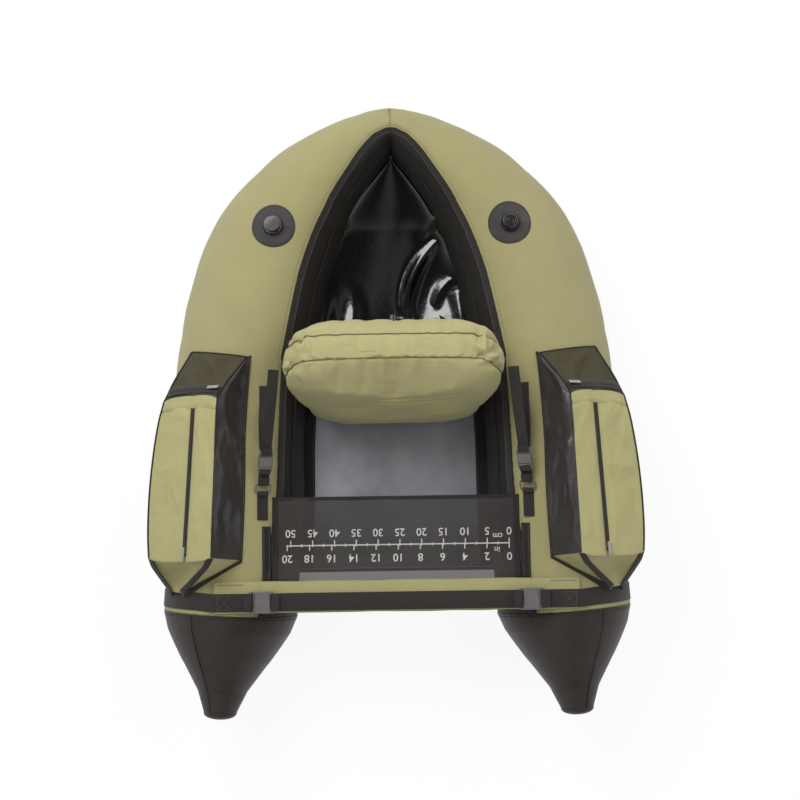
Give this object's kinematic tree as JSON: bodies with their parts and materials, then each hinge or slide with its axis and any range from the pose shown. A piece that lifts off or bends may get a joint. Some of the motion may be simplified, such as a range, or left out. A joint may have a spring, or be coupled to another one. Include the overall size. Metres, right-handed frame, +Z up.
{
  "type": "float tube",
  "caption": "Open-fronted inflatable fishing seat: V-shaped stern, two cone-ended side tubes, folding backrest, zipped side pockets, lift-up mesh apron and a strapped crossbar.",
  "frame": {"origin": "on the floor, in the middle of the tube along and across", "axes": "+Y to the stern, -Y to the open end with the cones, +X to the right seen from the open end, +Z up"},
  "size_m": [1.113, 1.4362, 0.4772],
  "materials": {
    "tube_cloth": "matt coated polyester",
    "black_cloth": "satin coated polyester",
    "deck_tarpaulin": "glossy PVC-coated cloth",
    "seat_tarpaulin": "semi-gloss PVC-coated cloth",
    "cone_cloth": "satin heavy PVC-coated cloth",
    "cushion_cloth": "matt polyester",
    "webbing": "woven polypropylene tape",
    "mesh_cloth": "fine open mesh",
    "buckle_plastic": "moulded acetal",
    "valve_plastic": "moulded, glossy",
    "patch_rubber": "matt",
    "bladder_film": "clear heat-welded film",
    "zip_metal": "nickel finish",
    "bar_alloy": "drawn tube"
  },
  "bodies": {
    "hull": {"belt_anchor_left": "webbing", "belt_anchor_right": "webbing", "belt_socket_left": "buckle_plastic", "belt_socket_right": "buckle_plastic", "belt_web": "webbing", "bladder_left": "bladder_film", "bladder_right": "bladder_film", "cone_cover_left": "cone_cloth", "cone_cover_right": "cone_cloth", "crossbar_sleeve": "tube_cloth", "crossbar_tube": "bar_alloy", "deck_panel": "deck_tarpaulin", "inner_wall_left": "black_cloth", "inner_wall_right": "black_cloth", "mesh_zip_left": "black_cloth", "mesh_zip_right": "black_cloth", "pocket_left": "tube_cloth", "pocket_mesh_left": "mesh_cloth", "pocket_mesh_right": "mesh_cloth", "pocket_right": "tube_cloth", "pocket_zip_left": "black_cloth", "pocket_zip_right": "black_cloth", "rear_tab_left": "webbing", "rear_tab_right": "webbing", "seat_hem": "black_cloth", "seat_panel": "seat_tarpaulin", "stay_latch_left": "buckle_plastic", "stay_latch_right": "buckle_plastic", "stay_ring_left": "zip_metal", "stay_ring_right": "zip_metal", "stay_strap_left": "webbing", "stay_strap_right": "webbing", "stay_tab_left": "webbing", "stay_tab_right": "webbing", "stay_web_left": "webbing", "stay_web_right": "webbing", "top_cover_left": "tube_cloth", "top_cover_right": "tube_cloth", "under_cover_left": "black_cloth", "under_cover_right": "black_cloth", "valve_neck_left": "valve_plastic", "valve_neck_right": "valve_plastic", "valve_patch_left": "patch_rubber", "valve_patch_right": "patch_rubber"},
    "backrest": {"backrest_cushion": "cushion_cloth", "backrest_valve": "valve_plastic"},
    "apron": {"apron_hem": "black_cloth", "apron_mesh": "mesh_cloth"},
    "belt_latch_right": {"belt_latch_right": "buckle_plastic"},
    "stay_socket_right": {"stay_socket_right": "buckle_plastic"},
    "valve_collar_right": {"valve_collar_right": "valve_plastic"},
    "valve_cap_right": {"valve_cap_right": "valve_plastic"},
    "zip_slider_right": {"zip_slider_right": "zip_metal"},
    "mesh_slider_right": {"mesh_slider_right": "zip_metal"},
    "belt_latch_left": {"belt_latch_left": "buckle_plastic"},
    "stay_socket_left": {"stay_socket_left": "buckle_plastic"},
    "valve_collar_left": {"valve_collar_left": "valve_plastic"},
    "valve_cap_left": {"valve_cap_left": "valve_plastic"},
    "zip_slider_left": {"zip_slider_left": "zip_metal"},
    "mesh_slider_left": {"mesh_slider_left": "zip_metal"}
  },
  "joints": [
    {"name": "backrest_fold", "type": "hinge", "parent": "hull", "child": "backrest", "pos_m": [0, -0.05782, 0.13485], "axis": [1, 0, 0], "range_deg": [0, 45], "deforming": ["stay_strap_left", "stay_strap_right"]},
    {"name": "apron_lift", "type": "hinge", "parent": "hull", "child": "apron", "pos_m": [0, -0.4004, 0.28458], "axis": [1, 0, 0], "range_deg": [0, 60]},
    {"name": "belt_release_right", "type": "slide", "parent": "hull", "child": "belt_latch_right", "axis": [1, 0, 0], "range_m": [0, 0.03], "deforming": ["belt_anchor_right"]},
    {"name": "stay_release_right", "type": "slide", "parent": "hull", "child": "stay_socket_right", "axis": [-0.1244, 0.9281, 0.3509], "range_m": [0, 0.025], "deforming": ["stay_strap_right"]},
    {"name": "collar_turn_right", "type": "hinge", "parent": "hull", "child": "valve_collar_right", "pos_m": [0.27509, 0.418, 0.30535], "axis": [0, 0, 1], "range_deg": [0, 180]},
    {"name": "cap_lift_right", "type": "slide", "parent": "hull", "child": "valve_cap_right", "axis": [0, 0, 1], "range_m": [0, 0.03]},
    {"name": "pocket_zip_open_right", "type": "slide", "parent": "hull", "child": "zip_slider_right", "axis": [-0.0602, 0.9982, 0], "range_m": [0, 0.32]},
    {"name": "mesh_zip_open_right", "type": "slide", "parent": "hull", "child": "mesh_slider_right", "axis": [0.8961, -0.0057, -0.4439], "range_m": [0, 0.1]},
    {"name": "belt_release_left", "type": "slide", "parent": "hull", "child": "belt_latch_left", "axis": [-1, 0, 0], "range_m": [0, 0.03], "deforming": ["belt_anchor_left"]},
    {"name": "stay_release_left", "type": "slide", "parent": "hull", "child": "stay_socket_left", "axis": [0.1244, 0.9281, 0.3509], "range_m": [0, 0.025], "deforming": ["stay_strap_left"]},
    {"name": "collar_turn_left", "type": "hinge", "parent": "hull", "child": "valve_collar_left", "pos_m": [-0.27509, 0.418, 0.30535], "axis": [0, 0, 1], "range_deg": [0, 180]},
    {"name": "cap_lift_left", "type": "slide", "parent": "hull", "child": "valve_cap_left", "axis": [0, 0, 1], "range_m": [0, 0.03]},
    {"name": "pocket_zip_open_left", "type": "slide", "parent": "hull", "child": "zip_slider_left", "axis": [0.0602, 0.9982, 0], "range_m": [0, 0.32]},
    {"name": "mesh_zip_open_left", "type": "slide", "parent": "hull", "child": "mesh_slider_left", "axis": [-0.8961, -0.0057, -0.4439], "range_m": [0, 0.1]}
  ]
}
